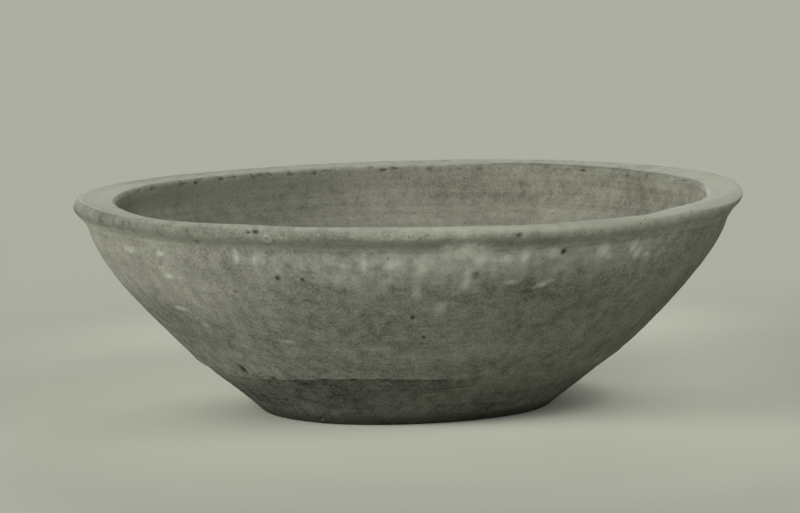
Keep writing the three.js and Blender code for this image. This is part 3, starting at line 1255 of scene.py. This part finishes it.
@dataclass(frozen=True)
class ClayPiece:
    """One of the four pieces of clay: builds its mesh from the section and dresses it."""

    form: BowlForm
    hand: HandShape
    finish: HandFinish
    weather: Weathering
    outside: bpy.types.Material
    inside: bpy.types.Material

    NAME: ClassVar[str] = ""
    NODE: ClassVar[str] = ""
    SLOT: ClassVar[str] = ""
    BED_ROWS: ClassVar[int] = 4
    FOOT_FADE: ClassVar[float] = 3.0  # run above the sole over which the worked skin sets in
    SHARP_ANGLE: ClassVar[float] = 50.0

    def stretches(self) -> list[Stretch]:
        """Returns the visible stretches of the piece's outline, counterclockwise in the section."""
        raise NotImplementedError

    def rows(self, bearing: np.ndarray) -> TurnedRows:
        """Samples the whole outline, with beds between stretches that don't touch.

        Args:
            bearing: Bearings of the columns of points, in degrees.

        Returns:
            The rows; where the outline doesn't end on the axis, a last bed leads back to the first row.
        """
        wander = self.hand.wander(bearing)
        rows = TurnedRows(self.form)
        for part in self.stretches():
            touches = False
            if rows.section:
                along = part.start + wander * part.start_wanders
                first = part.curve.at(along)
                touches = bool(np.abs(first - rows.section[-1]).max() < 1e-6)
                if not touches:
                    rows.add_bed(first, self.form.inner_share(along), self.BED_ROWS)
            rows.add_stretch(part, wander, touches)
        if rows.section[-1][0, 0] > 1e-6:
            rows.add_bed(rows.section[0], rows.inner[0], self.BED_ROWS)
        return rows

    def build(self) -> bpy.types.Object:
        """Turns the outline round the axis, marks it and gives it its hand-made shape.

        Returns:
            A closed mesh object with the attributes that the finish and the clay read.
        """
        even = np.linspace(-180.0, 180.0, SEGMENTS, endpoint=False)
        bearing = even - FRONT_CROWDING * np.cos(np.radians(even))
        rows = self.rows(bearing)
        section, outward, along, inner = (
            np.array(part) for part in (rows.section, rows.outward, rows.along, rows.inner)
        )
        shown = np.array([face is not Face.BED for face in rows.faces])[:, None]
        filled = self.form.fill_neck(section, outward, along)
        section, outward = (np.where(shown[..., None], *pair) for pair in zip(filled, (section, outward)))
        at = Surface(bearing, along, section, outward)
        skin = shown * smooth_step(along, 0.0, self.FOOT_FADE)
        depth, stain_and_shade, bloom = (layer * skin for layer in self.weather.mark_layers(at))
        depth = depth + self.smear(at) * skin
        at = replace(at, section=section - outward * depth[..., None])
        sole = np.array([face is Face.SOLE for face in rows.faces])[:, None]
        layers = {
            "outward": at.turned(outward),
            "wheel": at.turned(np.stack((np.ones_like(along), along * MM), axis=-1)),
            "skin": skin,
            # rubbed paleness, in places painted light and shade
            "wear_and_painted_light": self.weather.wear_and_painted_light(at) * shown,
            "polish": self.weather.polish(at) * shown,
            "veil": self.weather.veil(at) * skin,
            # clouds of tone, with painted light under the roll and painted shade on its left
            "fire_and_painted_light": self.fire_and_painted_light(at),
            # painted shade under the roll and inside below the lip, and darker towards the foot's edge
            "shade_and_dirt": self.weather.shade_and_dirt(at) * shown,
            "bloom": bloom,
            # stains, with painted shade in the trim line's groove
            "stain_and_shade": np.maximum(stain_and_shade, self.weather.trim_groove_shade(at) * skin),
        }
        mesh = self.join(self.hand.apply(at.turned(at.section), sole, inner), rows.spans, layers)
        return new_object(self.NAME, mesh)

    def join(self, places: np.ndarray, spans: list[Face], layers: dict[str, np.ndarray]) -> bpy.types.Mesh:
        """Joins points to a closed mesh.

        Args:
            places: Points in millimetres, in rows and columns.
            spans: Side of the clay that each row of faces belongs to.
            layers: Values of the points for each attribute.

        Returns:
            The mesh with its attributes.
        """
        index = np.arange(places.shape[0] * places.shape[1]).reshape(places.shape[:2])
        lower, upper = (np.roll(index, shift, axis=0)[:len(spans)] for shift in (0, -1))
        quads = np.stack((lower, np.roll(lower, -1, 1), np.roll(upper, -1, 1), upper), axis=-1)
        mesh = bpy.data.meshes.new(self.NAME)
        mesh.from_pydata((places.reshape(-1, 3) * MM).tolist(), [], quads.reshape(-1, 4).tolist())
        for name, values in layers.items():
            vector = values.ndim == 3
            layer = mesh.attributes.new(name, "FLOAT_VECTOR" if vector else "FLOAT", "POINT")
            layer.data.foreach_set("vector" if vector else "value", values.astype(np.float32).ravel())
        inside = np.repeat([face is Face.INSIDE for face in spans], SEGMENTS)
        mesh.attributes.new("inside", "BOOLEAN", "FACE").data.foreach_set("value", inside)
        self.close_poles(mesh)
        return mesh

    def smear(self, at: Surface) -> np.ndarray:
        """How deep a wet thumb pressed an edge of the piece back; most pieces keep their edges."""
        return np.zeros_like(at.along)

    def fire_and_painted_light(self, at: Surface) -> np.ndarray:
        """Tone of the piece: the firing's clouds, with some painted light and shade."""
        return self.weather.fire_and_painted_light(at)

    @staticmethod
    def close_poles(mesh: bpy.types.Mesh) -> None:
        """Merges rows that shrink to one point on the axis."""
        work = bmesh.new()
        work.from_mesh(mesh)
        bmesh.ops.remove_doubles(work, verts=work.verts, dist=1e-8)
        work.to_mesh(mesh)
        work.free()

    def dress(self, piece: bpy.types.Object) -> None:
        """Works the skin, sets the clays and hangs the piece on the frame.

        Args:
            piece: The piece that build made.
        """
        self.finish.apply(piece, self.outside, self.inside)
        piece.data.shade_smooth()
        piece.data.set_sharp_from_angle(angle=math.radians(self.SHARP_ANGLE))
        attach(piece, BODY)
        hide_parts(self.NODE)


class BaseDisc(ClayPiece):
    """Flat disc with a bevelled edge; its top is the floor of the bowl."""

    NAME = "clay_base_disc"
    NODE = "base_disc"
    SLOT = "foot_clay"

    def stretches(self) -> list[Stretch]:
        """Sole, foot of the belt and floor."""
        form = self.form
        on_belt, in_well = form.foot_joint
        return [
            Stretch(form.sole, form.sole.start, 0.0, Face.SOLE, 1.8),
            Stretch(form.belt, 0.0, on_belt, Face.OUTSIDE, 0.5),
            Stretch(form.well, in_well, form.well.end, Face.INSIDE, 0.9),
        ]


class LowerWall(ClayPiece):
    """Ring whose outside is the knife-trimmed belt."""

    NAME = "clay_lower_wall"
    NODE = "lower_wall"
    SLOT = "trimmed_clay"
    SMEARED: ClassVar[Side] = Side(-105.5, 0.93, 0.81)  # all round but the front

    def stretches(self) -> list[Stretch]:
        """Belt and the bend of the well."""
        form = self.form
        on_belt, in_well = form.foot_joint
        return [
            Stretch(form.belt, on_belt, form.belt.end, Face.OUTSIDE, 0.5, end_wanders=True),
            Stretch(form.well, form.trim_joint, in_well, Face.INSIDE, 0.9),
        ]

    def fire_and_painted_light(self, at: Surface) -> np.ndarray:
        """Tones the belt like the wall above it at both ends of the knife's strokes, where slip smears it."""
        trim = self.form.belt.end
        near_trim = smooth_step(at.along, trim - 18.0, trim) * (at.along < self.form.wall.end)
        return super().fire_and_painted_light(at) + 0.9 * self.SMEARED.share(at) * near_trim


class UpperWall(ClayPiece):
    """Flaring ring from the trim line to the neck."""

    NAME = "clay_upper_wall"
    NODE = "upper_wall"
    SLOT = "wiped_clay"
    PRESSED: ClassVar[Side] = Side(-15.0, 0.4, 0.75)

    def stretches(self) -> list[Stretch]:
        """Outside and inside of the wall."""
        form = self.form
        return [
            Stretch(form.wall, form.wall.start, form.wall.end, Face.OUTSIDE, 0.8, start_wanders=True),
            Stretch(form.well, form.well.start, form.trim_joint, Face.INSIDE, 1.6),
        ]

    def smear(self, at: Surface) -> np.ndarray:
        """Presses the wall's lower edge flush with the belt on one side, so that the trim line is lost."""
        edge = self.form.belt.end + self.hand.wander(at.bearing)
        low = smooth_step(at.along, edge + 9.0, edge) * (at.along < self.form.wall.end)
        return self.form.trim_step * self.PRESSED.share(at) * low


class RimRoll(ClayPiece):
    """Rolled rim that overhangs the neck and caps the wall."""

    NAME = "clay_rim_roll"
    NODE = "rim_roll"
    SLOT = "rim_clay"

    def stretches(self) -> list[Stretch]:
        """The roll from the neck over the top to the lip, and its upright side in the mouth."""
        roll = self.form.roll
        return [
            Stretch(roll, roll.start, self.form.lip_end, Face.RIM, 0.3),
            Stretch(roll, self.form.lip_end, roll.end, Face.INSIDE, 0.5),
        ]


@dataclass(frozen=True)
class TemperMineral:
    """Crushed stone that was mixed into the body; dull broken faces, each a little different."""

    name: str
    pale: str
    dark: str
    change_mm: float = 6.0
    roughness: float = 0.85

    def build(self) -> bpy.types.Material:
        """Makes the node material.

        Returns:
            The material, whose tone changes from grain to grain.
        """
        material = new_material(self.name)
        tree = material.node_tree
        place = add_node(tree, "ShaderNodeTexCoord").outputs["Object"]
        change = {"Vector": place, "Scale": 1.0 / (self.change_mm * MM), "Detail": 2.0}
        share = add_node(tree, "ShaderNodeTexNoise", change).outputs["Fac"]
        colour = tint(tree, share, hex_to_linear(self.dark), self.pale)
        end_in_surface(tree, {"Base Color": colour, "Roughness": self.roughness, "Specular IOR Level": 0.3})
        return material


@dataclass(frozen=True)
class TemperGrit:
    """Grains that stand out of the skin all over; sizes in millimetres."""

    name: str
    slot: str
    mineral: TemperMineral
    per_square_cm: float
    smallest: float
    largest: float
    sunk: float
    seed: int

    TREE: ClassVar[str] = "temper grit"
    SKIN_LEAST: ClassVar[float] = 0.5  # grains need as much worked skin as this
    WEAR_AND_LIGHT_MOST: ClassVar[float] = 0.05  # and no more of the rubbed cover, in part painted light, than this
    SQUARE_CM: ClassVar[float] = 1.0e4  # in a square metre

    def tree(self) -> bpy.types.NodeTree:
        """Builds the node tree once, and hands the same one out afterwards.

        Returns:
            A tree that takes the bowl's skin and gives back only the grains on it.
        """
        made = bpy.data.node_groups.get(self.TREE)
        if made:
            return made
        numbers = dict.fromkeys(("density", "smallest", "largest", "sunk"), "Float")
        tree = new_geometry_tree(self.TREE, numbers | {"seed": "Int", "mineral": "Material"})
        given = add_node(tree, "NodeGroupInput").outputs
        spread = {"Mesh": given["Geometry"], "Density": given["density"], "Seed": given["seed"]}
        points = add_node(tree, "GeometryNodeDistributePointsOnFaces", spread)
        inward = {0: points.outputs["Normal"], "Scale": calculate(tree, "MULTIPLY", given["sunk"], -1.0)}
        inward = add_node(tree, "ShaderNodeVectorMath", inward, operation="SCALE").outputs[0]
        sunk = {"Geometry": points.outputs["Points"], "Offset": inward}
        sunk = add_node(tree, "GeometryNodeSetPosition", sunk).outputs[0]
        low, high = (
            add_node(tree, "ShaderNodeCombineXYZ", dict.fromkeys(range(3), given[name])).outputs[0]
            for name in ("smallest", "largest")
        )
        size = {"Min": low, "Max": high, "Seed": given["seed"]}
        size = add_node(tree, "FunctionNodeRandomValue", size, data_type="FLOAT_VECTOR").outputs["Value"]
        grain = {"Radius": 0.5, "Subdivisions": 1}
        grain = add_node(tree, "GeometryNodeMeshIcoSphere", grain).outputs["Mesh"]
        placed = {"Points": sunk, "Instance": grain, "Rotation": points.outputs["Rotation"], "Scale": size}
        placed = add_node(tree, "GeometryNodeInstanceOnPoints", placed).outputs[0]
        plain = add_node(tree, "GeometryNodeRealizeInstances", {"Geometry": placed}).outputs[0]
        grains = {"Geometry": plain, "Material": given["mineral"]}
        grains = add_node(tree, "GeometryNodeSetMaterial", grains).outputs[0]
        add_node(tree, "NodeGroupOutput", {"Geometry": grains})
        return tree

    def build(self, skins: list[bpy.types.Object]) -> bpy.types.Object:
        """Scatters the grains over the visible skin of the pieces, except under the pale rubbed cover, which
        is in part painted light.

        Args:
            skins: The dressed pieces of clay.

        Returns:
            One mesh object with all the grains.
        """
        mesh = bpy.data.meshes.new(self.name)
        work = bmesh.new()
        for skin in skins:
            work.from_mesh(skin.data)
        shown, worn_and_lit = (work.verts.layers.float[name] for name in ("skin", "wear_and_painted_light"))
        hidden = [
            face for face in work.faces
            if any(vert[shown] < self.SKIN_LEAST or vert[worn_and_lit] > self.WEAR_AND_LIGHT_MOST for vert in face.verts)
        ]
        bmesh.ops.delete(work, geom=hidden, context="FACES")
        work.to_mesh(mesh)
        work.free()
        piece = new_object(self.name, mesh)
        values = {
            "density": self.per_square_cm * self.SQUARE_CM,
            "smallest": self.smallest * MM,
            "largest": self.largest * MM,
            "sunk": self.sunk * MM,
            "seed": self.seed,
            "mineral": self.mineral.build(),
        }
        run_tree(piece, self.tree(), values)
        return piece

    def dress(self, piece: bpy.types.Object) -> None:
        """Hangs the grains on the frame."""
        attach(piece, BODY)


# Coarse stone that the wiping fingers dragged clear of the slip, as sparse dark points on the wall
DARK_GRIT = TemperGrit(
    "dark_temper_grit", "wiped_clay", TemperMineral("crushed dark stone temper", "#4B4A41", "#302F28"),
    per_square_cm=0.08, smallest=0.3, largest=0.8, sunk=0.16, seed=11,
)
# Finer quartz, which catches the light as pale points
PALE_GRIT = TemperGrit(
    "pale_temper_grit", "wiped_clay", TemperMineral("crushed quartz temper", "#858479", "#6C6C61"),
    per_square_cm=0.06, smallest=0.3, largest=0.7, sunk=0.14, seed=23,
)


@dataclass(frozen=True)
class Viewpoint:
    """Where the photograph was taken from: degrees, millimetres, and pixels of an 800 by 513 image."""

    elevation: float = 7.29
    roll: float = -1.1
    distance: float = 1519.3
    target_height: float = 38.0
    focal_px: float = 4214.5
    target_px: tuple[float, float] = (404.5, 298.4)
    image_px: tuple[float, float] = (800.0, 513.0)

    def build(self) -> bpy.types.Object:
        """Sets up the camera.

        Returns:
            The scene's camera object.
        """
        data = bpy.data.cameras.new("viewpoint")
        width, height = self.image_px
        data.lens = self.focal_px * data.sensor_width / width
        data.shift_x = (width / 2 - self.target_px[0]) / width
        data.shift_y = (self.target_px[1] - height / 2) / width
        data.clip_end = 100.0
        camera = bpy.data.objects.new("viewpoint", data)
        angle = math.radians(self.elevation)
        away = Vector((0.0, -math.cos(angle), math.sin(angle))) * self.distance
        place = Matrix.Translation((Vector((0.0, 0.0, self.target_height)) + away) * MM)
        tilt = Matrix.Rotation(math.pi / 2 - angle, 4, "X")
        camera.matrix_world = place @ tilt @ Matrix.Rotation(math.radians(self.roll), 4, "Z")
        bpy.context.scene.collection.objects.link(camera)
        bpy.context.scene.camera = camera
        return camera


@dataclass(frozen=True)
class SkyGlow:
    """A soft bright part of the studio: its strength, where its middle lies and its reach, in degrees."""

    strength: float
    bearing: float
    elevation: float
    reach: float

    @property
    def direction(self) -> Vector:
        """Unit direction towards its middle."""
        turn, rise = math.radians(self.bearing), math.radians(self.elevation)
        return Vector((math.cos(rise) * math.cos(turn), math.cos(rise) * math.sin(turn), math.sin(rise)))


@dataclass(frozen=True)
class PaintedFloorLight:
    """A soft round patch of painted light on the paper, or below 0 of painted shadow: its middle, where it
    starts and where it is full, in metres.
    """

    middle: tuple[float, float, float]
    start: float
    full: float
    share: float  # above 0 painted light, below 0 painted shadow


@dataclass(frozen=True)
class Studio:
    """Plain pale floor, a low window on the left, soft light from the front right and a pale wall behind."""

    plain_paper: str = "#B1B3A5"
    # paler paper colour, which the painted light leans towards
    lit_paper: str = "#CED0C0"
    floor_size: float = 12.0
    floor_drop_mm: float = 0.15
    paper_cloud: float = 1.0 / 3.0  # size of the clouds in the paper, in metres
    # painted light in front of and behind the bowl, which cancels its shadows on the floor, and a painted
    # shadow round its foot
    floor_light_patches: tuple[PaintedFloorLight, ...] = (
        PaintedFloorLight((0.020, -0.102, 0.0), 0.156, 0.058, 1.2),
        PaintedFloorLight((0.011, 0.108, 0.0), 0.219, 0.090, 0.91),
        PaintedFloorLight((0.010, 0.012, 0.0), 0.070, 0.053, -1.1),
    )
    room: float = 0.01
    glows: tuple[SkyGlow, ...] = (
        SkyGlow(12.8, 211.6, 8.1, 30.7), SkyGlow(2.5, -54.8, 24.5, 46.0), SkyGlow(5.7, 96.6, 26.6, 30.7)
    )

    def build(self) -> bpy.types.Object:
        """Makes floor and light.

        Returns:
            The floor object.
        """
        scene = bpy.context.scene
        scene.view_settings.view_transform = "Standard"
        self.build_sky(scene)
        half = self.floor_size / 2
        depth = -self.floor_drop_mm * MM
        corners = [(x * half, y * half, depth) for x, y in ((-1, -1), (1, -1), (1, 1), (-1, 1))]
        mesh = bpy.data.meshes.new("paper_floor")
        mesh.from_pydata(corners, [], [(0, 1, 2, 3)])
        mesh.materials.append(self.paper())
        floor = new_object("paper_floor", mesh)
        return floor

    def build_sky(self, scene: bpy.types.Scene) -> None:
        """Lights the scene, and shows the paper's colour where the camera sees past the floor.

        Args:
            scene: The scene that gets the world.
        """
        world = bpy.data.worlds.new("studio")
        scene.world = world
        world.use_nodes = True
        tree = world.node_tree
        tree.nodes.clear()
        towards = add_node(tree, "ShaderNodeTexCoord").outputs["Generated"]
        strength: Any = self.room
        for glow in self.glows:
            near = {0: towards, 1: glow.direction}
            near = add_node(tree, "ShaderNodeVectorMath", near, operation="DOT_PRODUCT").outputs["Value"]
            fall = fade(tree, near, math.cos(math.radians(glow.reach)), 1.0, glow.strength)
            strength = calculate(tree, "ADD", fall, strength)
        lit = {"Strength": strength, "Color": hex_to_linear("#FFFFFF")}
        light = add_node(tree, "ShaderNodeBackground", lit)
        shown = add_node(tree, "ShaderNodeBackground", {"Color": hex_to_linear(self.plain_paper)})
        ray = add_node(tree, "ShaderNodeLightPath").outputs["Is Camera Ray"]
        choice = {0: ray, 1: light.outputs[0], 2: shown.outputs[0]}
        both = add_node(tree, "ShaderNodeMixShader", choice)
        add_node(tree, "ShaderNodeOutputWorld", {"Surface": both.outputs[0]})

    def paper(self) -> bpy.types.Material:
        """Makes the floor's paper: a little cloudy, with painted light that cancels the bowl's shadows and a
        painted shadow at its foot.
        """
        material = new_material("matt backdrop paper")
        tree = material.node_tree
        place = add_node(tree, "ShaderNodeTexCoord").outputs["Object"]
        cloud = {"Vector": place, "Scale": 1.0 / self.paper_cloud, "Detail": 2.0}
        cloud = add_node(tree, "ShaderNodeTexNoise", cloud).outputs["Fac"]
        share = calculate(tree, "MULTIPLY_ADD", cloud, 0.1, -0.05)
        for patch in self.floor_light_patches:
            reach = {0: place, 1: patch.middle}
            reach = add_node(tree, "ShaderNodeVectorMath", reach, operation="DISTANCE").outputs["Value"]
            soft = fade(tree, reach, patch.start, patch.full, patch.share)
            share = calculate(tree, "ADD", share, soft)
        colour = tint(tree, share, hex_to_linear(self.plain_paper), self.lit_paper, clamp=False)
        end_in_surface(tree, {"Base Color": colour, "Roughness": 1.0, "Specular IOR Level": 0.0})
        return material


def report(piece: bpy.types.Object) -> None:
    """Logs a piece's name and its count of faces."""
    LOG.info("%s: %d faces", piece.name, len(piece.data.polygons))


def main() -> None:
    """Builds and dresses the bowl, then the studio round it."""
    logging.basicConfig(level=logging.INFO, format="%(name)s: %(message)s")
    LOG.info("frame nodes: %s", ", ".join(sorted(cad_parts)))
    Viewpoint().build()
    form = BowlForm()
    hand = HandShape(form)
    finish = HandFinish()
    weather = Weathering(form, hand)
    wiped, trimmed, rubbed, inside = (
        clay.build() for clay in (WIPED_CLAY, TRIMMED_CLAY, RIM_CLAY, INSIDE_CLAY)
    )
    skins = []
    for kind, outside in (
        (BaseDisc, trimmed), (LowerWall, trimmed), (UpperWall, wiped), (RimRoll, rubbed)
    ):
        clay_piece = kind(form, hand, finish, weather, outside, inside)
        piece = clay_piece.build()
        clay_piece.dress(piece)
        report(piece)
        skins.append(piece)
    for grit in (DARK_GRIT, PALE_GRIT):
        piece = grit.build(skins)
        grit.dress(piece)
        report(piece)
    report(Studio().build())


if __name__ == "__main__":
    main()
